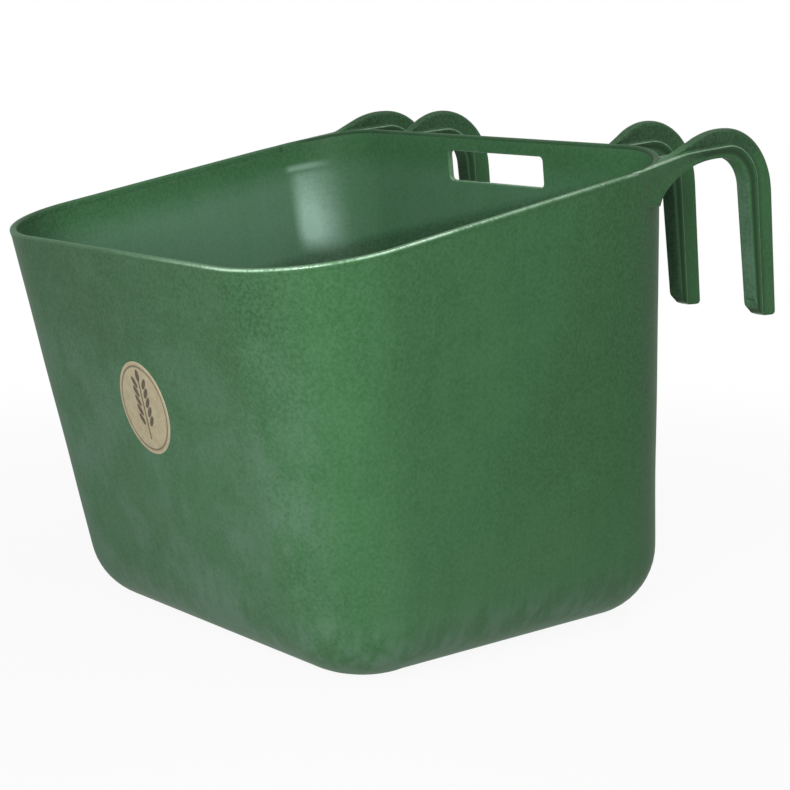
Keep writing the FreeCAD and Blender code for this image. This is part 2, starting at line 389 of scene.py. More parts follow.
def tubRows():
    rows, wearAndLight, inside = [], [], []

    def put(points, bright, inner):
        rows.append(points)
        wearAndLight.append(np.broadcast_to(bright, columns))
        inside.append(np.full(columns, float(inner)))

    def putFlat(edge, shares, bright, inner):
        middle = edge.mean(0)
        for share in shares:
            put(middle + share * (edge - middle), bright, inner)

    wall, rounding, wornAndLit = tub["wall"], tub["topRound"], tub["wearAndLight"]
    outerRound, innerRound = tub["bottomRadius"], tub["bottomRadius"] - wall
    roundShares = np.linspace(0, 1, tub["roundRows"] + 1)
    # underside, from the middle outwards
    putFlat(roundRow(0.0, outerRound, 0.0, 0.0), tub["floorShares"], wornAndLit["underside"], 0)
    for share in roundShares:
        put(roundRow(share, outerRound, 0.0, 0.0), wornAndLit["bottomRound"] * math.sin(math.pi * share), 0)
    # outer wall, with rows that the slot's frame needs
    beadY = rim["endY"]
    rimY = wallPoints(heightsOn(rimZ, 0.0, 0.0))[:, 1]
    sunk = tub["hiddenTop"] * rampStep(beadY - rimY, *tub["hiddenRun"])
    low = outerRound * (1 - np.sin(leanAngle))
    high = heightsOn(rimZ, 0.0, rounding + tub["topLand"]) - sunk
    back = int(np.argmax(rimY))
    frameShares = [(z - low[back]) / (high[back] - low[back]) for z in slot["frameHeights"]]
    shares = sorted([*np.linspace(0, 1, tub["wallRows"] + 1)[1:], *frameShares])
    frameRows = [len(rows) + shares.index(share) for share in frameShares]
    for share in shares:
        put(wave(wallPoints(low + share * (high - low))), 0.0, 0)
    # over the top, from the outer edge to the inner one
    topSteps = [(rounding * inset, rounding * drop) for inset, drop in quarterRound(tub["topSteps"])]
    topSteps += [(wall - inset, drop) for inset, drop in reversed(topSteps)]
    for inset, drop in topSteps:
        top = wallPoints(heightsOn(rimZ, inset, drop) - sunk, inset)
        # past the rim's end the top gets painted shade, less on the bar than at the back corners; the outer
        # edge of the right side is bright with wear and a painted highlight
        past = rampStep(top[:, 1] - beadY, 0.0, tub["wearBlend"])
        shadedTop = np.where(np.abs(top[:, 0]) < tub["barHalf"], wornAndLit["bar"], wornAndLit["backCorner"])
        bright = wornAndLit["topOuter"] * (top[:, 0] > 0) if inset < rounding else wornAndLit["topInner"]
        put(top, bright + past * (shadedTop - bright), inset > wall / 2)
    # inner wall with the fine stacking line, by depth below the mouth's plane
    put(wallPoints(heightsOn(rimZ, wall, rounding + tub["topLand"]) - sunk, wall), wornAndLit["innerEdge"], 1)
    frameRows.append(len(rows) - 1)
    lip = list(tub["stackEdge"])
    lip += [(tub["stackHeight"] - below, share) for below, share in reversed(lip)]
    profile = [(below, 0.0) for below in tub["stackAbove"]]
    profile += [(tub["stackDepth"] + below, share) for below, share in lip]
    profile += [(below, 0.0) for below in tub["stackBelow"]]
    for below, share in profile:
        z = heightsOn(mouthZ, wall, below)
        fade = rampStep(wallPoints(z, wall)[:, 1], *tub["stackFade"])
        put(wallPoints(z, wall + tub["stackProud"] * share * fade), 0.0, 1)
    frameRows.append(len(rows) - 1)
    high = heightsOn(mouthZ, wall, profile[-1][0])
    low = tub["floor"] + innerRound * (1 - np.sin(leanAngle))
    for share in np.linspace(0, 1, tub["innerRows"] + 1)[1:]:
        put(wave(wallPoints(high + share * (low - high), wall)), 0.0, 1)
    for share in roundShares[::-1]:
        put(roundRow(share, innerRound, tub["floor"], wall), 0.0, 1)
    # floor, from its edge to the middle
    putFlat(roundRow(0.0, innerRound, tub["floor"], wall), tub["floorShares"][::-1], wornAndLit["floor"], 1)
    return rows, wearAndLight, inside, frameRows


def buildTub(material):
    rows, wearAndLight, inside, frameRows = tubRows()
    points = list(np.concatenate(rows))
    wornAndLit = list(np.concatenate(wearAndLight))
    inner = list(np.concatenate(inside))
    # columns of the back wall that frame the slot
    backX = rows[frameRows[0]][:, 0]
    onBack = [c for c in range(columns) if planNormal[c][1] > slot["straight"]]
    onBack = [c for c in onBack if abs(backX[c]) < slot["frameHalf"]]
    first, last = onBack[0], onBack[-1]
    blocks = [frameRows[:2], frameRows[2:]]

    def inBlock(row, column):
        return any(low <= row < high and first <= column < last for low, high in blocks)

    faces = gridFaces(0, len(rows), columns, inBlock)
    # closing fans under and inside
    for row, within in ((0, 0.0), (len(rows) - 1, 1.0)):
        hub = len(points)
        points.append(rows[row].mean(0))
        wornAndLit.append(tub["wearAndLight"]["underside"])
        inner.append(within)
        for column in range(columns):
            a, b = row * columns + column, row * columns + (column + 1) % columns
            faces.append((a, b, hub) if within else (b, a, hub))
    # slot: rounded edge outside, straight through, rounded edge inside
    edge, wall = slot["edge"], tub["wall"]
    landWear, brinkWear, wearAndPaintedLight = slot["wearAndLight"]
    steps = [(edge + slot["land"], 0.0, landWear), (edge, 0.0, brinkWear)]
    steps += [(edge * grow, edge * depth, wearAndPaintedLight) for depth, grow in quarterRound(slot["edgeSteps"])[1:]]
    steps += [(grow, wall - depth, value) for grow, depth, value in reversed(steps)]
    start, count = len(points), len(slotLoop(0.0))
    for place, (grow, depth, value) in enumerate(steps):
        points.extend(slotRow(grow, depth))
        wornAndLit.extend([value] * count)
        inner.extend([float(place > len(steps) / 2)] * count)
    faces += gridFaces(start, len(steps), count)
    # flat of the wall between the slot and its frame
    for (low, high), ring in zip(blocks, (start, start + (len(steps) - 1) * count)):
        border = [low * columns + c for c in range(first, last + 1)]
        border += [r * columns + last for r in range(low + 1, high + 1)]
        border += [high * columns + c for c in range(last - 1, first - 1, -1)]
        border += [r * columns + first for r in range(high - 1, low, -1)]
        faces += flatFill(points, border, range(ring, ring + count))
    settle(makePiece("tubShell", points, faces, wornAndLit, inner), material, "moulding", "tub_shell")


# Triangles between two loops that lie in one upright plane
def flatFill(points, border, hole):
    sheet, where, edges = bmesh.new(), {}, []
    for loop in (border, hole):
        verts = [sheet.verts.new(points[index]) for index in loop]
        where.update(zip(verts, loop))
        edges += [sheet.edges.new(pair) for pair in zip(verts, verts[1:] + verts[:1])]
    filled = bmesh.ops.triangle_fill(sheet, use_beauty=True, use_dissolve=False, edges=edges)
    faces = [tuple(where[v] for v in f.verts) for f in filled["geom"] if isinstance(f, bmesh.types.BMFace)]
    sheet.free()
    return faces


# Rim: a small rounded bead on the front and both sides of the mouth
rim = {
    "height": 5.0, "proud": 0.35, "round": 1.5,
    "endY": 57.4, "taper": 26.0, "endSink": 0.25, "innerLap": 0.02,
    # inset, share of proud and height over the lower edge
    "outerFoot": ((0.9, 0.0, 0.6), (0.3, 0.0, 0.0), (0.06, 0.0, 0.3), (0.0, 0.4, 1.2), (0.0, 0.85, 2.2)),
    # depth under the round, with the brightness outside and the share of the lap inside
    "outerSide": ((0.9, 0.1), (0.3, 0.3)),
    "innerSide": ((0.3, 0.0), (1.6, 1.0)),
    # inset from the inner face and height over the lower edge
    "innerFoot": ((0.0, 0.6), (0.15, 0.2), (0.7, 0.1)),
    # brightness over the round: wear with a painted highlight
    "brightness": (0.6, 0.9, 1.0, 1.0, 0.8, 0.5, 0.3),
    "innerBright": 0.1,
    "leftSpared": 0.85, "leftAcross": (110.0, 150.0), "leftAlong": (-150.0, -90.0),
    "frontSpared": 0.60, "frontAcross": (-20.0, 80.0),
    "cornerGlint": 0.30, "glintAcross": (50.0, 90.0), "glintAlong": (-40.0, -100.0),
}


def buildRim(material):
    wall, rounding, tall = tub["wall"], rim["round"], rim["height"]
    x, y = wallPoints(heightsOn(rimZ, 0.0, 0.0))[:, :2].T
    covered = np.where(y < rim["endY"])[0]
    # columns run on from the right end round the front to the left end
    gap = int(np.argmax(np.diff(covered)))
    run = np.concatenate([covered[gap + 1:], covered[:gap + 1]])
    taper = easeStep(rim["endY"] - y, 0.0, rim["taper"])
    proud, lap = rim["proud"] * taper, rim["innerLap"] * taper
    sink = rim["endSink"] * (1 - taper)
    # how much wear and painted highlight each column gets: less on the left and the front left, with a painted
    # glint at the near right corner
    onLeft = rampStep(-x, *rim["leftAcross"]) * rampStep(y, *rim["leftAlong"])
    frontLeft = (1 - rampStep(x, *rim["frontAcross"])) * (y < tub["frontPart"])
    atCorner = rampStep(x, *rim["glintAcross"]) * rampStep(y, *rim["glintAlong"])
    rubAndSheen = (1 - rim["leftSpared"] * onLeft) * (1 - rim["frontSpared"] * frontLeft)
    rubAndSheen *= 1 + rim["cornerGlint"] * atCorner
    # section: inset, depth below the rim, brightness
    bend = quarterRound(len(rim["brightness"]) - 1)
    section = [(inset - proud * share, tall - up, 0.0) for inset, share, up in rim["outerFoot"]]
    section += [(-proud, rounding + down, bright) for down, bright in rim["outerSide"]]
    for (inset, down), bright in zip(bend, rim["brightness"]):
        section.append((rounding * inset - proud, rounding * down, bright))
    for inset, down in reversed(bend):
        section.append((wall - rounding * inset, rounding * down, rim["innerBright"]))
    section += [(wall + lap * share, rounding + down, 0.0) for down, share in rim["innerSide"]]
    section += [(wall - inset, tall - up, 0.0) for inset, up in rim["innerFoot"]]
    points, wornAndLit, inner = [], [], []
    for inset, drop, bright in section:
        inset = np.broadcast_to(inset, columns)
        points.append(wallPoints(heightsOn(rimZ, inset, drop) - sink, inset)[run])
        wornAndLit.append(bright * rubAndSheen[run])
        inner.append(np.full(len(run), float(np.mean(inset) > wall / 2)))
    count, rings = len(run), len(section)
    faces = []
    for ring in range(rings):
        for step in range(count - 1):
            a, b = ring * count + step, ((ring + 1) % rings) * count + step
            faces.append((a, a + 1, b + 1, b))
    faces.append(tuple(ring * count for ring in range(rings)))
    faces.append(tuple(ring * count + count - 1 for ring in reversed(range(rings))))
    piece = makePiece("rimBead", np.concatenate(points), faces, np.concatenate(wornAndLit), np.concatenate(inner))
    settle(piece, material, "moulding", "rim_bead")


# Hooks: a strap that lies on the rail, with a ledge along each side and a rib on its back
hooks = {
    "outerInset": 14.0, "innerX": 99.2,
    "halfWidth": 5.2, "strap": 6.5,
    "seatDrop": 7.5, "innerStart": 4.5,
    "ledgeRise": 1.7, "ledgeRadius": 28.5,
    "railGap": 54.5, "legDrop": 102.0, "legLean": 8.4, "seatRadius": 22.0,
    "innerRoot": (30.0, 30.0), "outerRoot": (26.0, 44.0), "rootEase": (50.0, 122.0),
    "outerRise": 10.3, "innerRise": 12.5,
    "ribDepth": 26.2, "ribLean": 6.0,
    "outerFront": 68.0, "innerFront": 44.0, "ribRear": 45.0,
    "outerCrest": 2.0, "innerCrest": 0.0, "frontTurn": 70.0,
    "ribHalf": 3.5, "ribWaist": 3.0,
    "fullRise": 8.0, "leastRise": 0.02, "leastStrap": 3.0,
    "crown": 3.0, "crownShare": 0.5,
    "seatEdge": (1.1, 1.3), "ledgeEdge": (1.0, 1.7), "edgeShare": 0.4,
    "recess": 0.9, "recessShare": 0.15,
    "cove": 1.4, "coveShare": 0.3,
    "flatSpread": 0.6,
    "seatWear": 0.1, "flatWearAndLight": 0.3, "coveShade": -0.3, "wornAndLitAllAlong": 0.9,
    "shadeAndWearFrom": (108.0, 126.0), "legFrom": (0.2, 0.95),
    "toeRound": 13.0, "heelRound": 3.5, "endEdge": 1.4,
    "rootSpread": 7.0, "rootFoot": 2.0,
    "overWall": 2.4, "tuck": 0.35,
    "ledgeBegin": 40.0, "outerBegin": 50.0, "innerBegin": 4.0, "closeUntil": 120.0,
    "pastEnd": 30.0, "farthest": 60.0,
    "outerRows": 64, "innerRows": 36, "openRows": 14, "legRows": 14, "endSteps": 5,
}
seatZ = gripTop - hooks["seatDrop"]
seatWallY = backY(seatZ)
legEndZ = seatZ - hooks["legDrop"]
legTurn = math.radians(hooks["legLean"])
legDown = np.array([math.sin(legTurn), -math.cos(legTurn)])
legOff = np.array([math.cos(legTurn), math.sin(legTurn)])
outerX = sideX(gripTop) - hooks["outerInset"]
lineEndZ = legEndZ - hooks["pastEnd"]


# An arc that rounds a level line into one that falls and leans back
def roundOver(corner, radius, lean, steps):
    reach = radius / math.tan((math.pi / 2 + lean) / 2)
    points = []
    for step in range(steps + 1):
        turn = (math.pi / 2 - lean) * step / steps
        points.append((radius * math.sin(turn) - reach, radius * math.cos(turn) - radius))
    return np.array(points) + corner


# The rib's outer line seen from the side, from its foot over the crest to the leg's end
def ribLine(rise, frontRadius, crestLength):
    crestZ = gripTop + rise
    lean = math.radians(hooks["ribLean"])
    legY = seatWallY + hooks["railGap"] + hooks["ribDepth"]
    rear = roundOver((legY + (seatZ - crestZ) * math.tan(lean), crestZ), hooks["ribRear"], lean, 24)
    crestY = rear[0][0] - crestLength
    turns = np.radians(np.linspace(hooks["frontTurn"], 0, 25))
    front = np.column_stack([crestY - frontRadius * np.sin(turns), crestZ - frontRadius * (1 - np.cos(turns))])
    end = [(legY + (seatZ - lineEndZ) * math.tan(lean), lineEndZ)]
    return np.concatenate([front, rear, end])


# The ledge's line: on with the rim, up to the bend and down the leg
def ledgeLine(atCorner):
    top = gripTop + hooks["ledgeRise"]
    legY = seatWallY + hooks["railGap"] + hooks["strap"]
    corner = np.array([legY + (seatZ - top) * math.tan(legTurn), top])
    beginY, rootY = hooks["ledgeBegin"], seatWallY - tub["wall"] / 2
    root = np.array([rootY, mouthZ(rootY) if atCorner else seatZ + hooks["innerStart"]])
    before = np.array([beginY, mouthZ(beginY) if atCorner else root[1]])
    slope = math.atan2(corner[1] - root[1], corner[0] - root[0])
    bend = roundOver((0.0, 0.0), hooks["ledgeRadius"], legTurn + slope, 16)
    turned = np.array([[math.cos(slope), -math.sin(slope)], [math.sin(slope), math.cos(slope)]])
    end = (legY + (seatZ - lineEndZ) * math.tan(legTurn), lineEndZ)
    return np.concatenate([[before, root], bend @ turned.T + corner, [end]])


# How far a line stands off a point, along a direction
def reachTo(line, origin, direction):
    best, slack = 0.0, 1e-6
    for a, b in zip(line[:-1], line[1:]):
        run, gap = b - a, a - origin
        cross = direction[0] * run[1] - direction[1] * run[0]
        if abs(cross) < 1e-9:  # runs the same way
            continue
        along = (gap[0] * run[1] - gap[1] * run[0]) / cross
        share = (gap[0] * direction[1] - gap[1] * direction[0]) / cross
        if -slack <= share <= 1 + slack and best < along < hooks["farthest"]:
            best = along
    return best


# Half of a hook's section, from under the seat to the crown of the rib. Each point is: across, off the seat,
# share of the underside's drop, share of the root's spread, wear and painted light
def hookSection(top, rib, onLeg):
    half, waist = hooks["halfWidth"], hooks["ribWaist"]
    low = min(hooks["seatEdge"][onLeg], top * hooks["edgeShare"])
    high = min(hooks["ledgeEdge"][onLeg], top * hooks["edgeShare"])
    rise = max(rib - top, hooks["leastRise"])
    crown = min(hooks["crown"], rise * hooks["crownShare"])
    cove = min(hooks["cove"], rise * hooks["coveShare"])
    bead = waist + (hooks["ribHalf"] - waist) * min(rise / hooks["fullRise"], 1.0)
    line = [(share * (half - low), 0.0, 1.0, 1.0, 0.0) for share in (0.0, 0.5, 1.0)]
    line += [(half - low * b, low * a, 1.0, 1.0, hooks["seatWear"]) for a, b in quarterRound(4)[1:]]
    # the side is a little hollow, with painted shade in it
    for share in (0.2, 0.4, 0.6, 0.8):
        hollow = math.sin(math.pi * share)
        depth = hollow * min(hooks["recess"], top * hooks["recessShare"])
        line.append((half - depth, low + share * (top - low - high), 1 - share, 1.0, -hollow))
    # the ledge's rounded edge and its flat are bright: wear with a painted highlight
    line += [(half - high * a, top - high * b, 0.0, 1.0, float(a > 0)) for a, b in quarterRound(4)]
    line.append((0.5 * (half - high + waist + cove), top, 0.0, hooks["flatSpread"], hooks["flatWearAndLight"]))
    # the rib, with a hollow foot in painted shade and a rounded crown
    line += [(waist + cove * b, top + cove * a, 0.0, 0.0, hooks["coveShade"]) for a, b in quarterRound(3)]
    for share in (0.33, 0.67):
        side = waist + (bead - waist) * easeStep(share, 0.0, 1.0)
        line.append((side, top + cove + share * (rise - crown - cove), 0.0, 0.0, 0.0))
    line += [(bead - crown * a, top + rise - crown * b, 0.0, 0.0, 0.0) for a, b in quarterRound(6)]
    line.append((0.0, top + rise, 0.0, 0.0, 0.0))
    return line


# Distance of a point from the outside of the tub at its height, and the way out
def offTub(x, y, z):
    radius = tub["backCorner"]
    dx, dy = x - (sideX(z) - radius), y - (backY(z) - radius)
    if dx > 0 and dy > 0:
        far = math.hypot(dx, dy)
        return far - radius, dx / far, dy / far
    if dx > dy:
        return dx - radius, 1.0, 0.0
    return dy - radius, 0.0, 1.0


# How far the underside of a root hangs below the seat: an arc, tall at the wall and gone at its reach
def rootDrop(tall, reach, away):
    near = 1 - rampStep(away, 0.0, reach)
    return tall * (1 - math.sqrt(1 - near ** 2))


# One point of the level part of a hook, set into the wall where it meets it
def rootPoint(centreX, atCorner, y, point, lowered):
    across, n, under, wide = point[:4]
    half = hooks["halfWidth"]
    tall, reach = hooks["outerRoot"] if atCorner else hooks["innerRoot"]
    x, base = centreX + across, seatZ + n - lowered * (1 - under)
    z = base
    for _ in range(4 if under > 0 else 0):
        z = base - under * rootDrop(tall, reach, offTub(x, y, z)[0])
    if atCorner and across > 0:
        # the outer face leaves the side wall and eases to the strap's own width
        flush = sideX(z) - hooks["tuck"]
        outer = flush + (centreX + half - flush) * easeStep(y, *hooks["rootEase"])
        spreadX = centreX + across / half * (outer - centreX)
        x = x + (spreadX - x) * wide
    away = offTub(x, y, z)[0]
    spread = hooks["rootSpread"]
    if away < spread and not (atCorner and across > 0) and wide == 1.0:
        inset = spread - max(away, 0.0)
        widen = spread - math.sqrt(max(spread ** 2 - inset ** 2, 0.0))
        x += math.copysign(widen, across) * min(abs(across) / half, 1.0)
    away, outX, outY = offTub(x, y, z)
    if away < -hooks["overWall"]:
        push = -hooks["overWall"] - away
        x, y = x + outX * push, y + outY * push
    return x, y, z


# Where a leg ends, along it: level, with a round toe on the rail side and a round heel
def legEnd(n, length, rear):
    toe, heel = hooks["toeRound"], hooks["heelRound"]
    end = length + n * math.tan(legTurn)
    if n < toe * (1 - math.sin(legTurn)):
        end = length + toe * math.tan(legTurn) - toe / math.cos(legTurn) + math.sqrt(toe ** 2 - (toe - n) ** 2)
    past = min(max(n - (rear - heel), 0.0), heel)
    return end - heel + math.sqrt(heel ** 2 - past ** 2)


def mirrored(section):
    return section + [(-point[0],) + point[1:] for point in reversed(section[1:-1])]


def hookPoints(centreX, atCorner):
    ledge = ledgeLine(atCorner)
    kind = "outer" if atCorner else "inner"
    rib = ribLine(hooks[kind + "Rise"], hooks[kind + "Front"], hooks[kind + "Crest"])
    seatBend = roundOver((seatWallY + hooks["railGap"], seatZ), hooks["seatRadius"], legTurn, 20)
    begin = hooks["outerBegin"] if atCorner else seatWallY - hooks["innerBegin"]
    close = np.linspace(begin, hooks["closeUntil"], hooks[kind + "Rows"])
    levels = np.concatenate([close, np.linspace(hooks["closeUntil"], seatBend[0][0], hooks["openRows"])[1:]])
    foot = hooks["rootFoot"]
    rings, wearAndLight = [], []

    def put(ring, section):
        rings.append(ring)
        wearAndLight.append([point[4] for point in section])

    # level part, from the wall to the bend; the rib's foot grows softly out of the ledge
    for y in levels:
        top = float(np.interp(y, ledge[:, 0], ledge[:, 1])) - seatZ
        thick = max(top, hooks["leastStrap"])
        over = float(np.interp(y, rib[:-1, 0], rib[:-1, 1], left=0.0)) - seatZ - top
        over = foot * float(np.logaddexp(0, over / foot))
        section = mirrored(hookSection(thick, thick + over, 0))
        # the ledge's wear and painted highlight run all along, the rest, with the painted shade in the hollows,
        # only away from the wall
        clear = easeStep(y, *hooks["shadeAndWearFrom"])
        wornAndLit = [point[4] * (1.0 if point[4] >= hooks["wornAndLitAllAlong"] else clear) for point in section]
        section = [point[:4] + (value,) for point, value in zip(section, wornAndLit)]
        put([rootPoint(centreX, atCorner, y, point, thick - top) for point in section], section)
    # round the bend
    bendCentre = seatBend[0] - np.array([0.0, hooks["seatRadius"]])
    for place in seatBend[1:]:
        off = (place - bendCentre) / hooks["seatRadius"]
        turned = easeStep(off[0], *hooks["legFrom"])
        top, reach = reachTo(ledge, place, off), reachTo(rib, place, off)
        level, leg = hookSection(top, reach, 0), hookSection(top, reach, 1)
        section = mirrored([tuple(a + (b - a) * turned for a, b in zip(*pair)) for pair in zip(level, leg)])
        put([(centreX + point[0], *(place + off * point[1])) for point in section], section)
    # down the leg to its rounded end, which takes its shape over the lower half
    start, edge = seatBend[-1], hooks["endEdge"]
    length = (start[1] - legEndZ) / math.cos(legTurn)
    steps = [(share * (length - edge), 0.0) for share in np.linspace(0, 1, hooks["legRows"] + 1)[1:]]
    steps += [(length - edge * b, edge * a) for a, b in quarterRound(hooks["endSteps"])[1:]]
    for along, shrink in steps:
        place = start + legDown * along
        top, reach = reachTo(ledge, place, legOff), reachTo(rib, place, legOff)
        section = mirrored(hookSection(top, reach, 1))
        shaped = max(2 * along / length - 1, 0.0)
        ring = []
        for across, n in (point[:2] for point in section):
            slid = shaped * (legEnd(n, length, reach) - length)
            n = reach / 2 + (n - reach / 2) * (1 - shrink / (reach / 2))
            spot = place + legDown * slid + legOff * n
            ring.append((centreX + across * (1 - shrink / hooks["halfWidth"]), *spot))
        put(ring, section)
    return rings, wearAndLight


def buildHook(name, node, centreX, atCorner, mirror, material):
    rings, wearAndLight = hookPoints(centreX, atCorner)
    count = len(rings[0])
    points = np.concatenate(rings)
    if mirror:
        points[:, 0] *= -1
    faces = gridFaces(0, len(rings), count)
    # both ends are closed by strips from side to side
    for ring in (0, len(rings) - 1):
        low = ring * count
        for step in range(count // 2):
            a, b = low + step, low + step + 1
            c, d = low + (count - step - 1) % count, low + (count - step) % count
            faces.append(tuple(dict.fromkeys((a, b, c, d))))
    piece = makePiece(name, points, faces, np.concatenate(wearAndLight), np.zeros(len(points)))
    settle(piece, material, "moulding", node)


# Label: a thin oval film on the front wall
film = {
    "width": 49.0, "height": 58.5, "thickness": 0.4,
    "drop": 95.0, "offset": -4.0,
    "edge": 0.3, "flatInset": 1.0, "flatRings": (1.0, 0.75, 0.5, 0.25),
    "edgeSteps": 3, "steps": 96,
}


def buildLabel(material):
    lean, count, edge = math.radians(tub["frontLean"]), film["steps"], film["edge"]
    z = tub["frontHeight"] - film["drop"]
    wide, tall, thick = film["width"] / 2, film["height"] / 2, film["thickness"]
    # rings from the wall over the edge to the middle: scale, height, inset
    rings = [(1.0, 0.0, 0.0)]
    rings += [(1.0, thick - edge * b, edge * a) for a, b in quarterRound(film["edgeSteps"])]
    rings += [(scale, thick, film["flatInset"]) for scale in film["flatRings"]]
    points = []
    for scale, height, inset in rings:
        for step in range(count):
            turn = 2 * math.pi * step / count
            x, y = (wide - inset) * math.cos(turn), (tall - inset) * math.sin(turn)
            points.append((x * scale, y * scale, height))
    faces = gridFaces(0, len(rings), count)
    hub = len(points)
    points += [(0, 0, thick), (0, 0, 0)]
    low = (len(rings) - 1) * count
    for step in range(count):
        after = (step + 1) % count
        faces.append((low + step, low + after, hub))
        faces.append((after, step, hub + 1))
    piece = makePiece("labelFilm", points, faces)
    turned = Matrix.Rotation(math.pi / 2 + lean, 4, "X")
    piece.matrix_world = Matrix.Translation(Vector((film["offset"], frontY(z), z)) * toMetres) @ turned
    settle(piece, material, "label", "label")


# Green moulding: faint clouds, painted sheen, painted light and painted shade, pale scuffs, fine mottle, bright
# edges with wear and painted highlights
greenMoulding = {
    "deep": (0.029, 0.109, 0.034, 1),
    "mid": (0.041, 0.139, 0.048, 1),
    "pale": (0.090, 0.200, 0.105, 1),
    # pale colour of the painted sheen and light, and of the pale scuffs
    "paintedLightAndScuffs": (0.128, 0.220, 0.160, 1),
    # lighter green of the painted light inside
    "inner": (0.075, 0.225, 0.103, 1),
    # whitish colour of the painted sheen and highlight inside
    "paleSheen": (0.450, 0.680, 0.560, 1),
    # colour of worn edges and scratches, and of painted highlights on edges
    "wornAndLit": (0.230, 0.430, 0.250, 1),
    # colour of the painted glint on the rim
    "glint": (0.560, 0.800, 0.600, 1),
    # colour of painted shade, and of the dark mottle
    "dark": (0.012, 0.036, 0.014, 1),
    # noises: scale, detail, roughness, distortion
    "broad": (6.0, 3.0, 0.5, 0.3),
    "middle": (40.0, 4.0, 0.6, 0.2),
    "fine": (480.0, 3.0, 0.6),
    "speck": (1500.0, 1.0, 0.5),
    "patch": (24.0, 3.0, 0.55, 0.2),
    "runs": (1.0, 3.0, 0.6), "runStretch": (150.0, 150.0, 10.0),
    "scratch": (1.0, 2.0, 0.6), "scratchStretch": (900.0, 900.0, 22.0),
    # strength of each effect
    "frontShade": 0.45, "sideShade": 0.28, "cornerShade": 0.60, "hookShade": 0.74,
    # painted sheen on the front and inside, painted light on the legs
    "frontSheen": 0.36, "legLight": 0.62, "innerSheen": 0.42, "leftWallSheen": 0.16,
    # pale scuffs with a painted floor sheen, and painted light low on the sides
    "scuffAndSheenShare": 0.75, "lowSideLight": 0.12,
    "innerLightShare": 0.35, "lowInnerLightShare": 0.50,
    # painted sheen in the inner corner, painted highlight on the ridge
    "cornerSheenShare": 0.90, "ridgeHighlightShare": 0.42, "leftWallPaleSheen": 0.06,
    # painted shade inside the tub
    "deepShade": 0.58, "farCornerShade": 0.50, "underRimShade": 0.22,
    "mottle": 0.44, "innerMottle": 0.18, "frontMottle": 0.14,
    # edges: wear with painted highlights and glints, painted shade in the hollows, scratches
    "wearAndPaintedLight": 0.55, "edgeGlint": 0.62, "hollowShade": 0.80, "scratches": 0.16,
    "most": 0.9, "mostDark": 0.8,
    # the painted shade inside lies under this slanting plane: its x, y and z parts and its level in metres
    "shadePlane": (0.2179, 0.1584, 0.9486, 0.2190),
    "roughness": (0.46, 0.60), "coat": 0.9, "grainDepth": 0.00010,
}


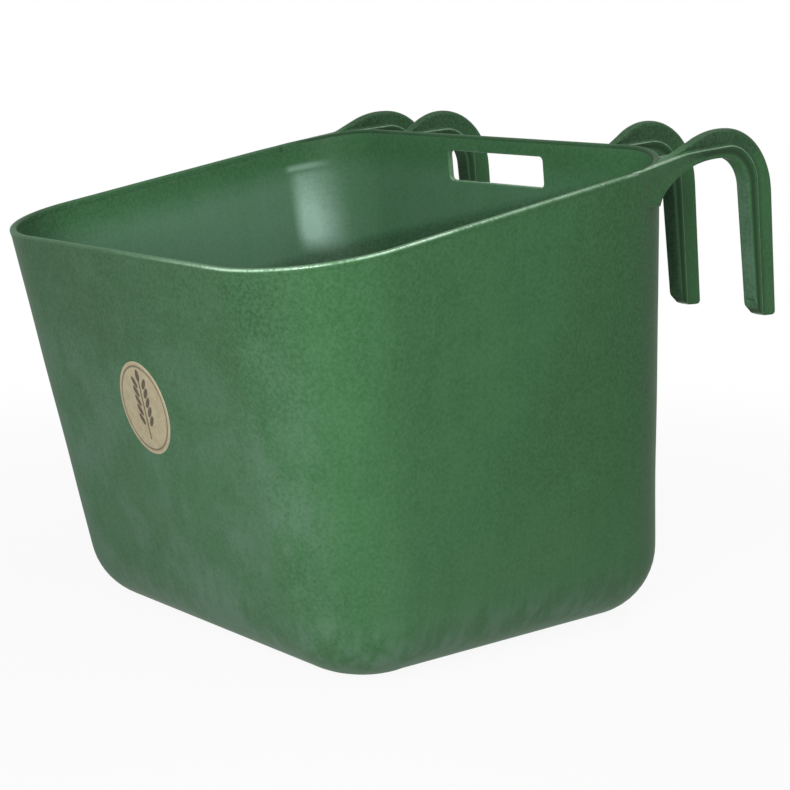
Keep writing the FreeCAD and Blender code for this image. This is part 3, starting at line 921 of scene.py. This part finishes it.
def makeGreen():
    look = greenMoulding
    material, start = newMaterial("greenMoulding")
    place = start.add("ShaderNodeTexCoord", out=3)
    inside = start.add("ShaderNodeAttribute", {"attribute_name": "insideFace"}, out=2)
    wearAndLight = start.add("ShaderNodeAttribute", {"attribute_name": "wearAndPaintedLight"}, out=2)
    x, y, z = place.split()
    outX, outY = start.add("ShaderNodeNewGeometry", out=1).split()[:2]
    outside, left, frontward = 1 - inside, x * -1.0, outY * -1.0
    noises = ("broad", "middle", "fine", "speck", "patch")
    broad, middle, fine, speck, patch = (place.cloud(*look[name]) for name in noises)
    runs = place.stretch(look["runStretch"]).cloud(*look["runs"])
    broken = (middle * 0.5 + fine * 0.5).ease(0.35, 0.60)
    clouds = (broad * 0.45 + middle * 0.35 + runs * 0.2).ease(0.36, 0.64)
    # shade on the upper walls, round the back corner and on the hooks' tops
    onFront = frontward.ease(0.60, 1.0) * outside
    onSide = outX.size().ease(0.75, 1.0) * outside
    lowFront = z.under(0.25, 0.17)
    highSide = onSide * y.ease(-0.04, 0.07) * (1 - y.ease(0.12, 0.14)) * z.ease(0.06, 0.20)
    turnedBack = outY.ease(0.05, 0.7) * x.ease(0.06, 0.12) * z.under(0.285, 0.02) * outside
    hookTop = z.ease(0.286, 0.302) * y.ease(0.095, 0.112) * outside
    shade = onFront * (1 - lowFront) * look["frontShade"] + highSide * look["sideShade"]
    shade = (shade + turnedBack * look["cornerShade"] + hookTop * look["hookShade"]).atMost(look["most"])
    # painted sheen on the front wall and inside, below the stacking line, and painted light on the legs' fronts
    # and low on the front wall
    belowMouth = mouthZ(0.0) * toMetres + y * mouthSlope - z
    lowInside = inside * belowMouth.ease(0.010, 0.034)
    onLeftWall = outX.ease(0.5, 1.0)
    frontSheen = onFront * (0.30 + left.ease(-0.09, 0.16) * 0.50 + lowFront * 1.15)
    frontSheen = frontSheen * (0.55 + patch.ease(0.40, 0.62) * 0.9) * look["frontSheen"]
    legLight = onFront * y.ease(0.140, 0.155) * look["legLight"]
    innerSheen = lowInside * (look["innerSheen"] + onLeftWall * look["leftWallSheen"])
    rubAndSheen = (middle * 0.35 + runs * 0.3 + fine * 0.35).ease(0.34, 0.62)
    paintedLightAndScuffs = (rubAndSheen * 0.7 + 0.3) * (frontSheen + legLight + innerSheen)
    # pale scuffs low down, where it is set on the ground, with a painted sheen of the floor on them, and
    # painted light low on the sides
    scuffAndSheen = z.under(0.050, 0.036) * (middle * 0.5 + runs * 0.5).ease(0.42, 0.62) * outside
    lowSideLit = onSide * z.under(0.12, 0.09)
    paintedLightAndScuffs = (paintedLightAndScuffs + scuffAndSheen * look["scuffAndSheenShare"] + lowSideLit * look["lowSideLight"]).atMost(look["most"])
    # painted light inside: a lighter green on the inner walls, stronger below the stacking line
    innerLight = inside * look["innerLightShare"] + lowInside * look["lowInnerLightShare"]
    # a painted whitish sheen down one inner corner, with a painted highlight along the stacking line and a
    # faint painted sheen on the left wall
    onLeft = left.ease(0.05, 0.10) * inside
    inCorner = frontward.ease(0.05, 0.30) * (1 - frontward.ease(0.32, 0.85)) * onLeft
    sheenHeight = belowMouth.ease(0.018, 0.026) * (0.20 + 0.80 * z.under(0.285, 0.060)) * z.ease(0.206, 0.225)
    alongRidge = frontward.ease(0.04, 0.16) * (1 - frontward.ease(0.40, 0.75)) * onLeft
    ridgeHighlight = belowMouth.ease(0.0150, 0.0185) * (1 - belowMouth.ease(0.0190, 0.0220)) * alongRidge
    cornerSheen = inCorner * sheenHeight * (0.75 + 0.25 * broken) + ridgeHighlight * look["ridgeHighlightShare"]
    cornerSheen = (cornerSheen + lowInside * onLeftWall * look["leftWallPaleSheen"]).atMost(look["most"])
    # painted shade deep inside, in the far corner and just under the rim
    slantX, slantY, slantZ, level = look["shadePlane"]
    deepShadeMask = 1 - (z * slantZ - x * slantX - y * slantY - level).ease(-0.002, 0.007)
    farCorner = left.ease(0.10, 0.16) * (y * -1.0).ease(0.10, 0.17)
    underRim = (1 - belowMouth.ease(0.0, 0.016)) * (1 - y.ease(0.080, 0.095))
    insideShade = deepShadeMask * look["deepShade"] + farCorner * look["farCornerShade"] + underRim * look["underRimShade"]
    # fine mottle over everything
    mottle = (fine * 0.7 + speck * 0.3).ease(0.32, 0.68)
    darkMottle = (1 - mottle) * (inside * look["innerMottle"] + onFront * look["frontMottle"])
    # bright edges: wear with painted highlights and painted glints, broken up by the grain, and painted shade
    # in the hollows
    edge = wearAndLight.atLeast(0.0) ** 2.0 * (0.45 + 0.55 * broken)
    glint = wearAndLight.ease(1.02, 1.30) * (middle * 0.6 + fine * 0.4).ease(0.40, 0.58)
    hollowShade = (wearAndLight * -1.0).atLeast(0.0)
    # fine scratches that run with the walls
    scratch = place.stretch(look["scratchStretch"]).cloud(*look["scratch"]).ease(0.68, 0.78)
    scratch = scratch * broad.ease(0.45, 0.6)
    # layers of colour, from the bottom up
    colour = clouds.mix(look["deep"], look["mid"])
    for share, layer in (
        (shade, "dark"),
        (innerLight, "inner"),
        (paintedLightAndScuffs, "paintedLightAndScuffs"),
        ((inside * insideShade).atMost(look["mostDark"]), "dark"),
        (mottle * look["mottle"], "pale"),
        (darkMottle, "dark"),
        (cornerSheen * look["cornerSheenShare"], "paleSheen"),
        ((edge * look["wearAndPaintedLight"]).atMost(look["most"]), "wornAndLit"),
        (glint * look["edgeGlint"], "glint"),
        (hollowShade * look["hollowShade"], "dark"),
        (scratch * look["scratches"], "wornAndLit"),
    ):
        colour = share.mix(colour, look[layer])
    roughLow, roughHigh = look["roughness"]
    rough = roughLow + (roughHigh - roughLow) * (clouds * 0.4 + mottle * 0.6)
    rough = (rough + paintedLightAndScuffs * 0.10 - edge * 0.12 - cornerSheen * 0.10).atMost(look["most"])
    height = fine * 0.5 + speck * 0.25 + middle * 0.5 - scratch * 0.25
    grain = {"Strength": 0.5, "Distance": look["grainDepth"], "Height": height}
    start.add("ShaderNodeBsdfPrincipled", None, {
        "IOR": 1.47,
        "Specular IOR Level": 0.16,
        "Coat Roughness": 0.13,
        "Base Color": colour,
        "Roughness": rough,
        "Normal": start.add("ShaderNodeBump", None, grain),
        "Coat Weight": (edge * look["coat"]).atMost(1.0),
    }).show("ShaderNodeOutputMaterial")
    return material


# Label film: tan paper look, a thin border and an ear of grain; places are shares of the oval's half sizes
labelLook = {
    "paper": (0.385, 0.325, 0.200, 1),
    "paperPale": (0.50, 0.44, 0.305, 1),
    "ink": (0.060, 0.042, 0.026, 1),
    "fibre": (900.0, 4.0, 0.65), "fibreStretch": (1.0, 3.5, 1.0), "blot": (160.0, 3.0, 0.6),
    "rough": 0.62,
    "borderAt": 0.90, "borderWidth": 0.028, "borderInk": 0.75,
    "stemHalf": (0.016, 0.026), "stemNarrow": 0.9, "stemEnd": (0.66, 0.70),
    "grainPairs": 5, "grainAside": 0.20, "grainFirst": -0.26, "grainStep": 0.20,
    "grainLean": (0.77, 0.64), "grainSize": (0.150, 0.068),
    "tipAt": 0.70, "tipSize": (0.14, 0.085),
    "softEdge": (0.8, 1.1), "paleEdge": (0.955, 0.995), "paleEdgeShare": 0.6,
}


def makeLabelFilm():
    look = labelLook
    material, start = newMaterial("labelFilm")
    place = start.add("ShaderNodeTexCoord", out=3)
    x, y = place.split()[:2]
    u, v = x / (film["width"] / 2 * toMetres), y / (film["height"] / 2 * toMetres)
    fibre = place.stretch(look["fibreStretch"]).cloud(*look["fibre"])
    blot = place.cloud(*look["blot"])
    colour = (fibre * 0.6 + blot * 0.4).ease(0.38, 0.64).mix(look["paper"], look["paperPale"])
    radius = (u * u + v * v) ** 0.5
    border = 1 - (radius - look["borderAt"]).size().ease(look["borderWidth"] * 0.6, look["borderWidth"])

    # 1 inside a small oval, soft at its edge
    def oval(along, aside, size):
        return 1 - ((along / size[0]) ** 2.0 + (aside / size[1]) ** 2.0).ease(*look["softEdge"])

    # the ear: a stem, grains in pairs up it and one at its tip
    ink = 1 - (u.size() * look["stemNarrow"]).ease(*look["stemHalf"]).atLeast(v.size().ease(*look["stemEnd"]))
    upright, aslant = look["grainLean"]
    for step in range(look["grainPairs"]):
        for side in (-1.0, 1.0):
            du, dv = u - side * look["grainAside"], v - (look["grainFirst"] + look["grainStep"] * step)
            along, aside = dv * upright + du * (aslant * side), du * upright - dv * (aslant * side)
            ink = ink.atLeast(oval(along, aside, look["grainSize"]))
    ink = ink.atLeast(oval(v - look["tipAt"], u, look["tipSize"])).atLeast(border * look["borderInk"])
    ink = ink * (0.78 + 0.22 * fibre.ease(0.35, 0.6))
    colour = ink.mix(colour, look["ink"])
    colour = (radius.ease(*look["paleEdge"]) * look["paleEdgeShare"]).mix(colour, look["paperPale"])
    height = {"Strength": 0.5, "Distance": 0.00006, "Height": fibre * 0.6 + ink * 0.3}
    start.add("ShaderNodeBsdfPrincipled", None, {
        "IOR": 1.45,
        "Specular IOR Level": 0.4,
        "Base Color": colour,
        "Roughness": look["rough"] + (fibre - 0.5) * 0.12 - ink * 0.08,
        "Normal": start.add("ShaderNodeBump", None, height),
    }).show("ShaderNodeOutputMaterial")
    return material


green = makeGreen()
buildTub(green)
print("tub built")
buildRim(green)
print("rim built")
for side, mirror in (("Right", False), ("Left", True)):
    buildHook("hook" + side + "Outer", "hook_" + side.lower() + "_outer", outerX, True, mirror, green)
    buildHook("hook" + side + "Inner", "hook_" + side.lower() + "_inner", hooks["innerX"], False, mirror, green)
print("hooks built")
buildLabel(makeLabelFilm())
print("label built")

# Stage: pale floor, white surround, soft lamps
stage = {
    "floorHalf": 30.0,
    "floorDrop": 0.0004,
    "floorColour": (0.62, 0.62, 0.61, 1),
    "shadowShare": 0.07,
    "shadowReach": (0.38, 0.95),
    "surround": 0.22,
    "aim": (0.0, -0.03, 0.15),
    "lamps": {
        "keyLamp": {"azimuth": 39.0, "rise": 18.0, "distance": 1.05, "size": (0.42, 0.42), "power": 8.6},
        "topLamp": {"azimuth": 140.0, "rise": 60.0, "distance": 1.35, "size": (0.9, 0.4), "power": 6.0},
    },
}


# 1 where the camera, a gloss or a glass looks, 0 for the light on the object
def lookedAt(start):
    rays = start.add("ShaderNodeLightPath").socket.node.outputs
    names = ("Is Camera Ray", "Is Glossy Ray", "Is Transmission Ray")
    camera, glossy, through = (Paint(start.tree, rays[name]) for name in names)
    return (camera + glossy + through).atMost(1.0)


def makeFloor():
    half, drop = stage["floorHalf"], stage["floorDrop"]
    mesh = bpy.data.meshes.new("studioFloor")
    corners = [(-half, -half, -drop), (half, -half, -drop), (half, half, -drop), (-half, half, -drop)]
    mesh.from_pydata(corners, [], [(0, 1, 2, 3)])
    floor = bpy.data.objects.new("studioFloor", mesh)
    bpy.context.scene.collection.objects.link(floor)
    material, start = newMaterial("studioFloor")
    x, y = start.add("ShaderNodeTexCoord", out=3).split()[:2]
    near = 1 - ((x * x + y * y) ** 0.5).ease(*stage["shadowReach"])
    matte = start.add("ShaderNodeBsdfDiffuse", None, {"Color": stage["floorColour"]})
    glow = start.add("ShaderNodeEmission", None, {"Color": (1, 1, 1, 1), "Strength": 1.0})
    share = lookedAt(start) * (1 - near * stage["shadowShare"])
    start.add("ShaderNodeMixShader", None, {0: share, 1: matte, 2: glow}).show("ShaderNodeOutputMaterial")
    mesh.materials.append(material)


def makeSurround():
    world = bpy.data.worlds.new("studioSurround")
    world.use_nodes = True
    world.node_tree.nodes.clear()
    start = Paint(world.node_tree)
    strength = stage["surround"] + lookedAt(start) * (1 - stage["surround"])
    glow = start.add("ShaderNodeBackground", None, {"Color": (1, 1, 1, 1), "Strength": strength})
    glow.show("ShaderNodeOutputWorld")
    bpy.context.scene.world = world


def makeLamp(name, azimuth, rise, distance, size, power):
    light = bpy.data.lights.new(name, "AREA")
    light.shape = "RECTANGLE"
    light.size, light.size_y = size
    light.energy = power
    lamp = bpy.data.objects.new(name, light)
    bpy.context.scene.collection.objects.link(lamp)
    turn, up = math.radians(azimuth), math.radians(rise)
    reach = Vector((math.sin(turn) * math.cos(up), -math.cos(turn) * math.cos(up), math.sin(up))) * distance
    lamp.location = Vector(stage["aim"]) + reach
    lamp.rotation_euler = (-reach).to_track_quat("-Z", "Y").to_euler()


makeFloor()
makeSurround()
for lampName, lampPlace in stage["lamps"].items():
    makeLamp(lampName, **lampPlace)
bpy.context.scene.view_settings.view_transform = "Standard"
print("stage set")
